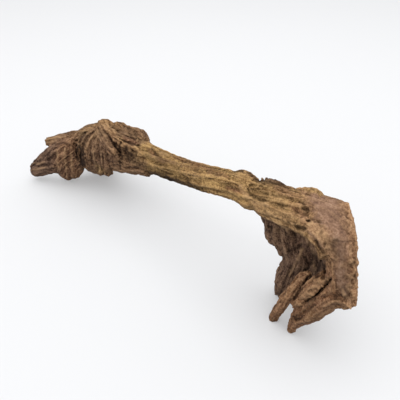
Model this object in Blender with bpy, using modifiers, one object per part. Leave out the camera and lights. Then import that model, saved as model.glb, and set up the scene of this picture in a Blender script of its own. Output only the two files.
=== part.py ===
"""Driftwood: one weathered root, 0.4 m long, standing as an arch on a burl at
one end and on a split root crown at the other. Metres, +Z up, length along +X."""

import math

import bmesh
import bpy
from mathutils import Vector

NODE = "driftwood"
MM = 0.001

# Driving dimensions, in millimetres
RIB_SEAT = 0.93
VOXEL = 1.3
SMOOTH_PASSES = 2
TRIANGLES = 11400
CUTTER_SIDE = 700.0

# The sawn face of the crown, in two facets: a point on each and its outward direction
SAWN_FACETS = {
    "sawnUpper": ((158.0, 15.0, 110.0), (0.719, 0.565, 0.404)),
    "sawnLower": ((195.0, -20.0, 68.0), (0.863, 0.455, 0.22)),
}

# Where the root's middle line runs through the shaft: x, y, z and radius
SHAFT = [
    (-62, 1, 68, 13.0),
    (-35, 0, 71, 12.0),
    (-12, 0, 74, 10.3),
    (9, 0, 77, 9.6),
    (34, 0, 81, 9.6),
    (58, 0, 87, 9.4),
    (82, 0, 91.5, 9.8),
    (101, 1, 94, 10.5),
    (120, 3, 96, 11.0),
    (140, 5, 98, 10.0),
]

# Thick limbs of the burl, each a run of x, y, z and radius
BURL = {
    "heart": [
        (-32, 0, 70, 12),
        (-50, 1, 69, 17),
        (-67, 1, 67, 18.5),
        (-85, 1, 61, 20),
        (-105, 0, 54, 22),
        (-125, -3, 45, 23),
        (-143, -6, 38, 19.5),
        (-156, -10, 33, 14),
        (-165, -13, 30, 7),
    ],
    "crest": [
        (-98, -3, 79, 8),
        (-113, -7, 78, 9),
        (-126, -10, 73, 9),
        (-137, -13, 66, 9),
        (-148, -18, 58, 9),
    ],
    "knob": [(-103, -1, 76, 10), (-106, -3, 84, 6), (-107, -4, 88, 4.5)],
    "shoulder": [(-98, 5, 76, 10), (-86, 8, 79, 9), (-72, 7, 78, 9), (-60, 4, 76, 9)],
    "backEdge": [
        (-100, 12, 70, 8),
        (-84, 14, 70, 8),
        (-66, 11, 71, 8),
        (-52, 8, 72, 7),
        (-42, 5, 72, 6),
    ],
    "ridge": [
        (-100, -8, 84, 6),
        (-86, -10, 83, 6),
        (-70, -11, 82, 6.5),
        (-54, -9, 79, 6),
        (-40, -6, 75, 5.5),
        (-26, -4, 73, 5),
    ],
    "hip": [(-42, -4, 63, 10), (-55, -5, 59, 11.5), (-70, -6, 55, 11.5), (-84, -6, 50, 11)],
    "cheek": [
        (-138, -18, 50, 13),
        (-148, -26, 42, 14),
        (-155, -30, 30, 13.5),
        (-160, -29, 17, 11.5),
        (-165, -27, 2, 7),
    ],
    "cheekRight": [(-132, -20, 44, 9), (-141, -26, 32, 10), (-150, -26, 19, 9), (-158, -26, 9, 6)],
    "brow": [(-150, -22, 50, 10), (-160, -34, 43, 9), (-170, -42, 35, 8), (-180, -48, 27, 7)],
    "snout": [
        (-160, -34, 30, 12),
        (-174, -43, 25, 10),
        (-185, -50, 19, 8.5),
        (-191, -53, 14, 7),
        (-195, -55, 12, 4),
    ],
    "lip": [(-162, -38, 22, 8), (-176, -48, 17, 7), (-187, -54, 12, 6), (-195, -56, 10, 5)],
    "horn": [
        (-138, -12, 59, 9),
        (-150, -20, 57, 8),
        (-162, -28, 54, 6),
        (-170, -34, 52, 5),
        (-176, -38, 50, 5),
    ],
    "rearFoot": [
        (-108, 6, 48, 17),
        (-124, 9, 36, 17),
        (-138, 12, 24, 15),
        (-148, 14, 10, 11),
        (-151, 15, -3, 7),
    ],
    "belly": [(-122, -2, 38, 18), (-136, -3, 29, 16), (-148, -3, 24, 12), (-158, -4, 20, 7)],
}

# Fibres that hang from the burl's top, as a skirt
SKIRT = [
    [
        (-104, -14, 84, 3),
        (-116, -24, 74, 3.4),
        (-122, -28, 56, 3.6),
        (-124, -28, 42, 3.4),
        (-128, -22, 30, 2.6),
    ],
    [
        (-102, -14, 85, 3),
        (-109, -23, 74, 3.4),
        (-114, -28, 58, 3.6),
        (-116, -28, 42, 3.6),
        (-120, -23, 28, 2.6),
    ],
    [
        (-100, -14, 86, 3),
        (-102, -20, 75, 3.4),
        (-105, -25, 60, 3.6),
        (-108, -25, 43, 3.6),
        (-114, -20, 26, 2.8),
    ],
    [
        (-97, -13, 86, 3),
        (-95, -19, 75, 3.4),
        (-97, -23, 61, 3.6),
        (-100, -23, 45, 3.6),
        (-106, -19, 27, 2.8),
    ],
    [
        (-94, -13, 86, 3),
        (-89, -17, 75, 3.4),
        (-88, -20, 62, 3.6),
        (-91, -20, 46, 3.6),
        (-97, -17, 30, 2.8),
    ],
    [
        (-90, -12, 85, 3),
        (-82, -14, 74, 3.4),
        (-79, -16, 62, 3.6),
        (-82, -16, 48, 3.6),
        (-88, -14, 34, 2.8),
    ],
]
TONGUE = [(-94, -15, 88, 5), (-87, -20, 81, 5.5), (-80, -22, 74, 5), (-74, -22, 66, 4), (-71, -21, 61, 2.5)]

# Bumps that stand out of the shaft's top
KNOTS = [
    [(58, 3, 94, 4), (66, 5, 97, 5), (73, 6, 98, 5.5), (80, 6, 99, 5), (86, 5, 97, 4)],
    [(96, 7, 97, 3), (103, 8, 99, 3.5), (110, 9, 100, 3.5), (118, 10, 101, 4)],
    [(122, 13, 101, 4), (130, 13, 104, 4.5), (137, 13, 107, 4.5), (142, 13, 106, 4)],
]

# The crown: the roof that the shaft spreads into, and the post at its right
CROWN = {
    "rim": [
        (97, -3, 90, 6.5),
        (109, -5, 90, 6.5),
        (125, -7, 92, 6.5),
        (142, -8, 95, 6.5),
        (157, -10, 95, 7),
        (168, -13, 88, 8),
    ],
    "roof": [(97, 2, 93, 10), (115, 4, 95, 10), (135, 5, 98, 9), (155, 4, 100, 9), (168, -1, 97, 8)],
    "rearRoof": [
        (95, 6, 91, 9),
        (112, 9, 93, 8),
        (128, 13, 97, 8),
        (142, 15, 99, 8),
        (157, 13, 103, 8),
    ],
    "post": [
        (152, 0, 98, 9),
        (165, -5, 95, 9),
        (173, -11, 86, 9),
        (179, -16, 76, 9),
        (183, -19, 66, 9),
    ],
    "postSide": [
        (156, 9, 100, 9),
        (170, 4, 96, 9),
        (180, -2, 88, 9),
        (187, -8, 77, 9),
        (190, -13, 66, 8),
    ],
    "postBack": [
        (160, 16, 102, 9),
        (174, 12, 94, 9),
        (183, 6, 84, 9),
        (190, 0, 72, 9),
        (192, -7, 62, 7),
    ],
    "cheekWall": [(160, 6, 92, 8), (168, 2, 76, 8), (172, -2, 62, 8), (174, -8, 48, 7)],
}
BACK_WALL = [
    [(100, 4, 82, 7), (102, 6, 70, 6.5), (105, 8, 58, 7), (108, 9, 52, 6.5)],
    [(108, 6, 84, 7), (113, 8, 70, 8), (119, 9, 56, 7.5), (124, 9, 48, 6)],
    [
        (116, 7, 88, 8),
        (124, 9, 68, 8),
        (130, 9, 48, 7),
        (128, 8, 30, 7),
        (127, 6, 14, 6.5),
        (128, 5, 0, 5.5),
    ],
    [
        (130, 12, 88, 8),
        (136, 13, 66, 8),
        (140, 12, 46, 8),
        (139, 11, 26, 8),
        (136, 10, 10, 6.5),
        (134, 10, 0, 5),
    ],
    [(145, 13, 90, 8), (150, 13, 68, 8), (153, 11, 48, 8), (152, 8, 28, 7), (150, 6, 13, 6)],
    [(158, 9, 90, 8), (163, 7, 70, 8), (165, 3, 52, 7), (163, 0, 34, 7), (160, -2, 20, 5)],
]

# Thin fibres that line the inside of the hollow's right wall
CURTAIN = [
    [(150, -2, 90, 3), (155, 0, 78, 3), (157, 1, 64, 3), (156, 1, 50, 2.5)],
    [(157, -4, 90, 3), (161, -3, 78, 3), (162, -2, 64, 3), (160, -2, 50, 2.5)],
    [(163, -7, 88, 3), (167, -7, 76, 3), (168, -6, 64, 3), (165, -5, 52, 2.5)],
]
FINGERS = {
    "prong": [
        (168, -12, 84, 3.5),
        (162, -18, 73, 3.8),
        (153, -22, 54, 3.9),
        (146, -22, 37, 4.2),
        (140, -21, 17, 4.2),
        (137, -20, 4, 4),
        (136, -20, -3, 4),
    ],
    "stubRoot": [(182, -13, 82, 6), (175, -17, 69, 6), (168, -18, 58, 5)],
    "stub": [
        (175, -10, 74, 4.5),
        (168, -14, 62, 4.8),
        (162, -16, 50, 4.5),
        (156, -17, 38, 4),
        (151, -17, 29, 3),
    ],
    "thumb": [
        (190, -20, 73, 7),
        (183, -20, 60, 8),
        (175, -20, 46, 8),
        (167, -20, 33, 7.5),
        (160, -20, 19, 6),
        (156, -20, 8, 4.5),
        (154, -20, -3, 4),
    ],
}

# The split between the stub and the thumb: its run across the wall, how it
# leans back and down through the wall, and its width
SPLIT_PATH = [(186, -34, 98), (181, -34, 87), (175, -34, 74), (167, -34, 60), (158, -34, 50)]
SPLIT_THROUGH = (-6.4, 17.0, -17.7)
SPLIT_WIDTH = 3.0

# Limbs that carry fibres on their surface: how many, how thick and how far they wind
RIBBED = {
    "shaft": (10, 2.4, 0.22),
    "heart": (16, 2.6, 0.10),
    "cheek": (10, 2.4, 0.05),
    "snout": (7, 1.8, 0.10),
    "brow": (7, 1.8, 0.10),
    "horn": (6, 1.6, 0.05),
    "hip": (9, 2.0, 0.05),
    "shoulder": (9, 2.0, 0.08),
    "rim": (8, 1.6, 0.10),
    "roof": (10, 1.8, 0.10),
    "thumb": (8, 1.6, 0.05),
}


def new_collection(name):
    found = bpy.data.collections.new(name)
    bpy.context.scene.collection.children.link(found)
    return found


def limb(name, stations, home):
    """A round limb through the stations, as a curve whose radius changes along it."""
    curve = bpy.data.curves.new(name, "CURVE")
    curve.dimensions = "3D"
    curve.bevel_depth = MM
    curve.bevel_resolution = 4
    curve.resolution_u = 6
    curve.use_fill_caps = True
    spline = curve.splines.new("BEZIER")
    spline.bezier_points.add(len(stations) - 1)
    spline.radius_interpolation = "CARDINAL"
    for point, (x, y, z, radius) in zip(spline.bezier_points, stations):
        point.co = Vector((x, y, z)) * MM
        point.radius = radius
        point.handle_left_type = "AUTO"
        point.handle_right_type = "AUTO"
    made = bpy.data.objects.new(name, curve)
    home.objects.link(made)
    return made


def rib_stations(guide, turn, seat, radius, twist):
    """A thin fibre that lies on the guide's surface and winds slowly round it."""
    stations = []
    last = len(guide) - 1
    for step, (x, y, z, thick) in enumerate(guide):
        before = Vector(guide[max(step - 1, 0)][:3])
        after = Vector(guide[min(step + 1, last)][:3])
        along = (after - before).normalized()
        side = along.cross(Vector((0, 0, 1))).normalized()
        above = side.cross(along)
        angle = math.tau * (turn + twist * step / last)
        place = Vector((x, y, z)) + (side * math.cos(angle) + above * math.sin(angle)) * thick * seat
        stations.append((*place, radius))
    return stations


def ribbed(name, guide, count, radius, twist, home):
    """Fibres laid side by side all round a limb."""
    ribs = []
    for number in range(count):
        stations = rib_stations(guide, number / count, RIB_SEAT, radius, twist)
        ribs.append(limb(name + "Rib", stations, home))
    return ribs


def joined(limbs, name, home):
    """One mesh of all the limbs, still overlapping."""
    graph = bpy.context.evaluated_depsgraph_get()
    shape = bmesh.new()
    for made in limbs:
        mesh = bpy.data.meshes.new_from_object(made.evaluated_get(graph))
        shape.from_mesh(mesh)
        bpy.data.meshes.remove(mesh)
    bmesh.ops.remove_doubles(shape, verts=shape.verts, dist=1e-6)
    mesh = bpy.data.meshes.new(name)
    shape.to_mesh(mesh)
    shape.free()
    for made in limbs:
        bpy.data.objects.remove(made)
    body = bpy.data.objects.new(name, mesh)
    home.objects.link(body)
    return body


def slab(name, point, facing, home):
    """A block whose one face passes through the point, with the wood to remove inside it."""
    bpy.ops.mesh.primitive_cube_add(size=CUTTER_SIDE * MM)
    cutter = bpy.context.object
    cutter.name = name
    facing = Vector(facing).normalized()
    cutter.rotation_euler = facing.to_track_quat("Z", "Y").to_euler()
    cutter.location = (Vector(point) + facing * CUTTER_SIDE / 2) * MM
    cutter.hide_render = True
    cutter.display_type = "WIRE"
    for old in list(cutter.users_collection):
        old.objects.unlink(cutter)
    home.objects.link(cutter)
    return cutter


def split(name, path, width, home):
    """A thin sheet along the path that reaches through the wall."""
    shape = bmesh.new()
    front = [shape.verts.new(Vector(point) * MM) for point in path]
    back = [shape.verts.new((Vector(point) + Vector(SPLIT_THROUGH)) * MM) for point in path]
    for step in range(len(path) - 1):
        shape.faces.new((front[step], front[step + 1], back[step + 1], back[step]))
    mesh = bpy.data.meshes.new(name)
    shape.to_mesh(mesh)
    shape.free()
    cutter = bpy.data.objects.new(name, mesh)
    cutter.hide_render = True
    cutter.display_type = "WIRE"
    home.objects.link(cutter)
    sheet = cutter.modifiers.new("Width", "SOLIDIFY")
    sheet.thickness = width * MM
    sheet.offset = 0.0
    return cutter


def fuse(body, name):
    remesh = body.modifiers.new(name, "REMESH")
    remesh.mode = "VOXEL"
    remesh.voxel_size = VOXEL * MM


def cut(body, cutter):
    modifier = body.modifiers.new(cutter.name, "BOOLEAN")
    modifier.operation = "DIFFERENCE"
    modifier.solver = "EXACT"
    modifier.object = cutter


def seat(body, cutters, home):
    """Stands the wood on z = 0 with the origin under the middle of its box."""
    frame = bpy.data.objects.new("frame", None)
    home.objects.link(frame)
    body.parent = frame
    for cutter in cutters:
        cutter.parent = frame
    bpy.context.view_layer.update()
    shape = body.evaluated_get(bpy.context.evaluated_depsgraph_get())
    corners = [shape.matrix_world @ vertex.co for vertex in shape.data.vertices]
    low = [min(corner[axis] for corner in corners) for axis in range(3)]
    high = [max(corner[axis] for corner in corners) for axis in range(3)]
    frame.location = (-(low[0] + high[0]) / 2, -(low[1] + high[1]) / 2, -low[2])


def wood():
    material = bpy.data.materials.new("Weathered wood")
    material.use_nodes = True
    shader = material.node_tree.nodes["Principled BSDF"]
    shader.inputs["Base Color"].default_value = (0.16, 0.09, 0.045, 1.0)
    shader.inputs["Roughness"].default_value = 0.8
    shader.inputs["Metallic"].default_value = 0.0
    return material


def main():
    for old in list(bpy.data.objects):
        bpy.data.objects.remove(old)
    home = new_collection("Driftwood")
    cutters = new_collection("Cutters")
    limbs = []
    for group in ({"shaft": SHAFT}, BURL, CROWN, FINGERS):
        for name, stations in group.items():
            limbs.append(limb(name, stations, home))
            if name in RIBBED:
                limbs += ribbed(name, stations, *RIBBED[name], home)
    for stations in SKIRT + BACK_WALL + CURTAIN + KNOTS + [TONGUE]:
        limbs.append(limb("fibre", stations, home))
    body = joined(limbs, NODE, home)
    fuse(body, "Fuse")
    cut(body, split("fingerSplit", SPLIT_PATH, SPLIT_WIDTH, cutters))
    fuse(body, "Close")
    smooth = body.modifiers.new("Wear", "SMOOTH")
    smooth.factor = 0.5
    smooth.iterations = SMOOTH_PASSES
    bpy.context.view_layer.update()
    graph = bpy.context.evaluated_depsgraph_get()
    faces = len(body.evaluated_get(graph).data.polygons)
    decimate = body.modifiers.new("Facets", "DECIMATE")
    decimate.ratio = TRIANGLES / (2.0 * faces)
    for name, (point, facing) in SAWN_FACETS.items():
        cut(body, slab(name, point, facing, cutters))
    cut(body, slab("floor", (0, 0, 0), (0, 0, -1), cutters))
    body.data.materials.append(wood())
    seat(body, list(cutters.objects), home)


main()
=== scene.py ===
import math

import bmesh
import bpy
import numpy as np
from mathutils import Matrix, Vector
from mathutils.bvhtree import BVHTree


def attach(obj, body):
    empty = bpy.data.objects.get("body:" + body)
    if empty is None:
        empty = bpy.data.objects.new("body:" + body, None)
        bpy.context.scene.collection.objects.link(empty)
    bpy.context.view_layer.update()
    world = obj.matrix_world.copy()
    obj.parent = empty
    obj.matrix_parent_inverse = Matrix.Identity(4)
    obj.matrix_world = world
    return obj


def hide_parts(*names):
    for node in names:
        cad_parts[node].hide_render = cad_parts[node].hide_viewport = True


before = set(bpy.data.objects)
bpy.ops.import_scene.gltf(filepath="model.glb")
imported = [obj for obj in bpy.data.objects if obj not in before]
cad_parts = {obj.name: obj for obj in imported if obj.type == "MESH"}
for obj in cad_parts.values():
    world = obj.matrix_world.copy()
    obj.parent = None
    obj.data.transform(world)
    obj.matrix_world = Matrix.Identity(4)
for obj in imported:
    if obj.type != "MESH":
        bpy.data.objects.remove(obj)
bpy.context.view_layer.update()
millimetre = 0.001

# The camera stands where the photograph was taken from.
camera = {
    "place": (0.24408, -0.19173, 0.270),
    "pitch": 36.0,  # degrees below level
    "azimuth": 45.0,
    "focalPixels": 405.0,
    "picture": 400,
    "sensor": 36.0,
}

# Lengths here are in millimetres.
root = {
    "seat": (1.084, 16.774, 0.0),  # from the tables below to the frame that the part stands in
    "voxel": 0.9,
    "triangles": 196000,
    "smoothing": 2,
    "ribSeat": 0.93,
    "ringSides": 12,
    "ringStep": 2.5,
    "flowReach": 2.6,
    "flowRounds": 6,
    "flowBlock": 4000,  # points worked on at a time
    "patternShift": 53.0,  # keeps each limb's grain pattern its own
    "split": {
        "path": [(180, -34, 90), (178, -34, 82), (173, -34, 70), (168.5, -34, 61), (162, -34, 53)],
        "through": (-6.4, 17.0, -17.7),
        "width": 2.1,
    },
    "sawnFacets": [
        ((159.2, 16.0, 110.7), (0.719, 0.565, 0.404)),
        ((194.2, -20.0, 68.0), (0.863, 0.455, 0.22)),
    ],
    "brokenCorner": ((159.3, 15.0, 110.2), (0.739, 0.552, 0.385)),
}

# How each part of the root looks: golden, red and dark set its colour,
# strand, grain and lump are the depths of its relief in millimetres.
finishes = {
    "shaft": {"golden": 0.95, "red": 0.1, "dark": 0.0, "strand": 0.4, "grain": 0.42, "lump": 0.4},
    "burl": {"golden": 0.12, "red": 0.25, "dark": 0.25, "strand": 0.9, "grain": 0.4, "lump": 0.8},
    "top": {"golden": 0.35, "red": 0.3, "dark": 0.0, "strand": 0.8, "grain": 0.4, "lump": 0.8},
    "cheek": {"golden": 0.0, "red": 0.7, "dark": 0.15, "strand": 0.6, "grain": 0.5, "lump": 0.6},
    "snout": {"golden": 0.0, "red": 0.45, "dark": 0.8, "strand": 0.8, "grain": 0.4, "lump": 0.7},
    "horn": {"golden": 0.3, "red": 0.25, "dark": 0.2, "strand": 0.5, "grain": 0.3, "lump": 0.4},
    "roof": {"golden": 0.48, "red": 0.15, "dark": 0.0, "strand": 0.3, "grain": 0.45, "lump": 0.4},
    "post": {"golden": 0.1, "red": 0.5, "dark": 0.0, "strand": 0.35, "grain": 0.25, "lump": 0.4},
    # the hollow is dark partly in its own wood and partly as painted shade for its shaded inside
    "hollow": {"golden": 0.05, "red": 0.3, "dark": 0.72, "strand": 0.25, "grain": 0.38, "lump": 1.1},
    "finger": {"golden": 0.05, "red": 0.75, "dark": 0.0, "strand": 0.55, "grain": 0.45, "lump": 0.5},
    "edge": {"golden": 0.35, "red": 0.3, "dark": 0.45, "strand": 0.8, "grain": 0.4, "lump": 0.9},
    "black": {"golden": 0.2, "red": 0.0, "dark": 1.0, "strand": 0.4, "grain": 0.3, "lump": 0.3},
}

# Every limb: its finish, its fibres (count, radius and turns along it, or none),
# and its stations x, y, z and radius
limbs = {
    "shaft": ("shaft", (10, 2.4, 0.22), [
        (-62, 1, 68, 13.0), (-35, 0, 71, 12.0), (-12, 0, 73, 11.2), (9, 0, 76, 10.7), (34, 0, 80.2, 10.6),
        (58, 0, 86.2, 10.4), (80, 0, 90.2, 10.0), (91, 0, 89.6, 10.2), (101, 1, 92.8, 9.4),
        (120, 3, 95.2, 10), (140, 5, 98, 10)]),
    "heart": ("burl", (16, 2.6, 0.10), [
        (-32, 0, 69, 9), (-43, 0, 67.5, 11), (-52, 1, 68, 15), (-67, 1, 67, 18.5), (-85, 1, 61, 20),
        (-105, 0, 54, 22),
        (-125, -3, 45, 23), (-143, -6, 38, 19.5), (-156, -10, 33, 14), (-165, -13, 30, 7)]),
    "crest": ("horn", None, [
        (-98, -3, 77, 8), (-112, -7, 75.5, 8.5), (-124, -10, 70.5, 8.5), (-136, -13, 62.5, 8.5),
        (-147, -18, 56.5, 7.5)]),
    "knobBase": ("top", None, [(-103, -1, 76, 10), (-104, -2, 81, 7)]),
    "knob": ("top", None, [(-113, -1, 80, 6), (-107, -2, 83, 6), (-101, -2, 83.5, 6), (-95, -2, 81, 6)]),
    "backLip": ("edge", None, [
        (-76, 10, 81, 5), (-66, 11, 83, 5), (-58, 11, 83.5, 4.8), (-51, 9, 80.5, 4.2)]),
    "shoulder": ("top", (9, 2.0, 0.08), [
        (-98, 5, 75, 10), (-86, 8, 76.5, 8.5), (-72, 7, 77.5, 9), (-60, 4, 76, 9)]),
    "backEdge": ("burl", None, [
        (-100, 12, 70, 8), (-84, 14, 70, 8), (-66, 11, 71, 8), (-56, 9, 70, 6)]),
    "ridge": ("top", None, [
        (-100, -8, 84, 6), (-86, -10, 83, 6), (-70, -11, 82, 6.5), (-54, -9, 79, 6), (-40, -6, 75, 5.5),
        (-26, -4, 73, 5)]),
    "hip": ("burl", (9, 2.0, 0.05), [
        (-30, -3, 63.5, 8.5), (-44, -4, 62.5, 10), (-55, -5, 59, 11.5), (-70, -6, 55, 11.5),
        (-84, -6, 50, 11)]),
    "cheek": ("cheek", (15, 2.6, 0.05), [
        (-138, -18, 50, 13), (-148, -26, 42, 14), (-155, -30, 30, 13), (-160, -29, 17, 10.5),
        (-164, -27, 5, 5)]),
    "cheekRight": ("cheek", None, [
        (-132, -20, 44, 9), (-141, -26, 32, 10), (-147, -25, 19, 9.5), (-155, -26, 10, 6)]),
    "brow": ("snout", (10, 1.9, 0.10), [
        (-150, -22, 50, 10), (-160, -34, 43, 9), (-170, -42, 34.5, 7.2), (-180, -48, 27, 6.2)]),
    "snout": ("snout", (10, 1.9, 0.10), [
        (-160, -34, 30, 12), (-174, -43, 25, 10), (-185, -50, 19, 8.5), (-191, -53, 15.5, 7),
        (-194, -54.5, 15, 5)]),
    "lip": ("snout", None, [(-162, -38, 22, 8), (-176, -48, 17, 7), (-187, -54, 12, 6), (-195, -56, 10, 5)]),
    "horn": ("horn", (6, 1.6, 0.05), [
        (-138, -12, 59, 9), (-150, -20, 57, 8), (-162, -28, 54, 6), (-170, -34, 52, 5), (-176, -38, 50, 5)]),
    "rearFoot": ("burl", None, [
        (-108, 6, 48, 17), (-124, 9, 36, 17), (-138, 12, 24, 15), (-148, 14, 10, 11), (-151, 15, -3, 7)]),
    "belly": ("burl", None, [(-122, -2, 38, 18), (-136, -3, 29, 16), (-148, -3, 24, 12), (-158, -4, 20, 7)]),
    "tongue": ("burl", None, [
        (-93, -15, 85, 4), (-81, -21, 83, 5), (-71, -23, 79.5, 5), (-62, -24, 76.5, 3.8),
        (-56, -24.5, 75, 1.8)]),
    "knot1": ("roof", None, [
        (60, 3, 91.5, 3.5), (67, 4, 94.5, 4), (74, 6, 97, 4.8), (80, 6, 98.8, 4.6), (87, 5, 98, 4.4)]),
    "knot2": ("black", None, [
        (98, 7, 100, 3), (103, 8, 102.6, 3.6), (109, 8, 102.4, 3.6), (118, 9, 102, 2.6)]),
    "knot3": ("roof", None, [
        (122, 13, 100, 4), (129, 13, 103, 4.5), (135, 13, 105.5, 4.5), (140, 13, 104, 4)]),
    "rim": ("roof", (8, 1.6, 0.10), [
        (97, -3, 90, 6.5), (109, -5, 90, 6.5), (125, -7, 92, 6.5), (142, -8, 95, 6.5), (157, -10, 95, 7),
        (168, -13, 88, 8)]),
    "roof": ("roof", (10, 1.8, 0.10), [
        (97, 2, 92.2, 9), (115, 4, 95, 10), (135, 5, 98, 9), (155, 4, 100, 9), (168, -1, 97, 8)]),
    "rearRoof": ("roof", None, [
        (95, 6, 91, 9), (112, 9, 92, 8), (128, 13, 95, 8), (142, 15, 97.5, 8), (157, 13, 101.5, 8),
        (166, 11, 101, 8)]),
    "post": ("post", None, [
        (152, 0, 98, 9), (165, -5, 95, 9), (173, -11, 86, 9), (179, -16, 76, 9), (183, -19, 66, 9)]),
    "postSide": ("post", None, [
        (156, 9, 100, 9), (170, 4, 96, 9), (180, -2, 88, 9), (187, -8, 77, 9), (190, -13, 66, 8)]),
    "postBack": ("post", None, [
        (160, 16, 102, 9), (174, 12, 94, 9), (183, 6, 84, 9), (190, 0, 72, 9), (192, -7, 62, 7)]),
    "cheekWall": ("hollow", None, [(160, 6, 92, 8), (168, 2, 76, 8), (172, -2, 62, 8), (174, -8, 48, 7)]),
    "wall1": ("hollow", None, [
        (104, 4, 82, 6.5), (106.6, 6, 70, 6.4), (110.4, 8, 60, 7.3), (112.2, 9, 52, 6.8)]),
    "wall2": ("hollow", None, [(108, 6, 84, 7), (113, 8, 70, 8), (119, 9, 56, 8.5), (124, 9, 47, 7)]),
    "wall3": ("hollow", None, [
        (116, 7, 88, 8), (124, 9, 68, 9), (130, 9, 48, 8.5), (128, 8, 30, 8), (127, 6, 14, 6.5),
        (128, 5, 0, 5.5)]),
    "wall4": ("hollow", None, [
        (130, 12, 88, 8), (136, 13, 66, 9), (140, 12, 46, 9.5), (139, 11, 26, 9), (136, 10, 10, 6.5),
        (134, 10, 0, 5)]),
    "wall5": ("hollow", None, [
        (145, 13, 90, 8), (150, 13, 68, 8), (153, 11, 48, 8), (152, 8, 28, 7), (150, 6, 13, 6)]),
    "wall6": ("hollow", None, [
        (158, 9, 90, 8), (163, 7, 70, 8), (165, 3, 52, 7), (163, 0, 34, 7), (160, -2, 20, 5)]),
    "curtain1": ("hollow", None, [(150, -2, 90, 3), (155, 0, 78, 3), (157, 1, 64, 3), (156, 1, 50, 2.5)]),
    "curtain2": ("hollow", None, [(157, -4, 90, 3), (161, -3, 78, 3), (162, -2, 64, 3), (160, -2, 50, 2.5)]),
    "curtain3": ("hollow", None, [(163, -7, 88, 3), (167, -7, 76, 3), (168, -6, 64, 3), (165, -5, 52, 2.5)]),
    "prong": ("finger", None, [
        (156, -12, 61, 2.8), (151.2, -15, 52.4, 4), (149.7, -19, 46.1, 4.4), (146.1, -21, 33, 4.6),
        (141.4, -20.5, 17.5, 4.2), (138.2, -20, 4, 3.8), (137.4, -20, -3, 3.7)]),
    "stubRoot": ("finger", None, [(182, -13, 82, 6), (175, -17, 69, 6), (168, -18, 58, 5)]),
    "stub": ("finger", None, [
        (171, -15, 71, 5.5), (166, -18, 62, 6), (161.5, -19, 52, 5.5), (157.5, -20, 41, 4.6),
        (153.5, -20, 31, 3.2)]),
    "thumb": ("finger", (8, 1.5, 0.05), [
        (190, -20, 71, 8), (181, -20, 64.5, 8.2), (174, -20, 52.5, 7.8), (168, -20, 38, 7),
        (161, -20, 25, 5.6), (156.5, -19.5, 13, 3.9), (155, -19.3, 4, 2.8), (155, -19.3, -3, 2.5)]),
    "heel": ("finger", None, [(164, -18, 40, 5), (158, -19, 28, 4.5), (156, -19, 20, 3.8)]),
}

# The skirt of fibres that hangs from the burl's top. Its fibres lie on these lines and between them.
skirt = {
    "fibres": 21,
    "thick": 2.0,
    "wander": 1.2,
    "finish": "burl",
    "lines": [
        [(-104, -14, 82), (-116, -24, 73), (-122, -28, 56), (-123, -28, 43), (-125, -23, 34)],
        [(-102, -14, 83), (-109, -23, 74), (-114, -28, 58), (-116, -28, 44), (-118, -23, 34)],
        [(-100, -14, 86), (-102, -20, 75), (-105, -25, 60), (-108, -25, 43), (-113, -20, 31)],
        [(-97, -13, 86), (-95, -19, 75), (-97, -23, 61), (-100, -23, 45), (-106, -19, 29)],
        [(-94, -13, 86), (-89, -17, 75), (-88, -20, 62), (-91, -20, 46), (-97, -17, 32)],
        [(-90, -12, 85), (-82, -14, 74), (-79, -16, 62), (-82, -16, 48), (-88, -14, 34)],
    ],
}

# Short black splinters in a row on top of the shaft: how many, from where to where, and their lean
comb = {
    "count": 4,
    "start": (91.5, 8, 95.0),
    "end": (104.5, 8, 99.6),
    "lean": (-3.5, 0.0, 7.0),
    "thick": 1.35,
    "thin": 0.9,
    "shortest": 0.8,
    "uneven": 0.2,
}


def meshFrom(shape, name):
    mesh = bpy.data.meshes.new(name)
    shape.to_mesh(mesh)
    shape.free()
    return mesh


def addPiece(name, data):
    piece = bpy.data.objects.new(name, data)
    bpy.context.scene.collection.objects.link(piece)
    return piece


def smoothLine(stations, step):
    # points on a smooth line through the stations, with the radius as a fourth value
    knots = np.array(stations, float)
    knots = np.vstack([2 * knots[0] - knots[1], knots, 2 * knots[-1] - knots[-2]])
    knots[0, 3], knots[-1, 3] = knots[1, 3], knots[-2, 3]
    line = []
    for a, b, c, d in zip(knots, knots[1:], knots[2:], knots[3:]):
        pieces = max(2, math.ceil(np.linalg.norm(c[:3] - b[:3]) / step))
        for t in np.arange(pieces) / pieces:
            line.append(0.5 * (
                2 * b + (c - a) * t + (2 * a - 5 * b + 4 * c - d) * t * t + (3 * b - a - 3 * c + d) * t**3
            ))
    line.append(knots[-2])
    return np.array(line)


def addLimb(home, stations):
    # a ring at each point of the line, each bridged to the next, with both ends capped
    line = smoothLine(stations, root["ringStep"])
    along = np.gradient(line[:, :3], axis=0)
    tube = bmesh.new()
    rings = []
    for number, (point, heading) in enumerate(zip(line, along)):
        turn = Vector(heading).to_track_quat("Z", "Y").to_matrix().to_4x4()
        ring = bmesh.ops.create_circle(
            tube,
            cap_ends=number in (0, len(line) - 1),
            segments=root["ringSides"],
            radius=max(point[3], 0.5),
            matrix=Matrix.Translation(point[:3]) @ turn,
        )
        rings.append(list({edge for corner in ring["verts"] for edge in corner.link_edges}))
    for lower, upper in zip(rings, rings[1:]):
        bmesh.ops.bridge_loops(tube, edges=lower + upper)
    bmesh.ops.recalc_face_normals(tube, faces=tube.faces)
    mesh = meshFrom(tube, "limb")
    home.from_mesh(mesh)
    bpy.data.meshes.remove(mesh)
    heading = along / np.maximum(np.linalg.norm(along, axis=1, keepdims=True), 1e-9)
    return line, heading


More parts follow.
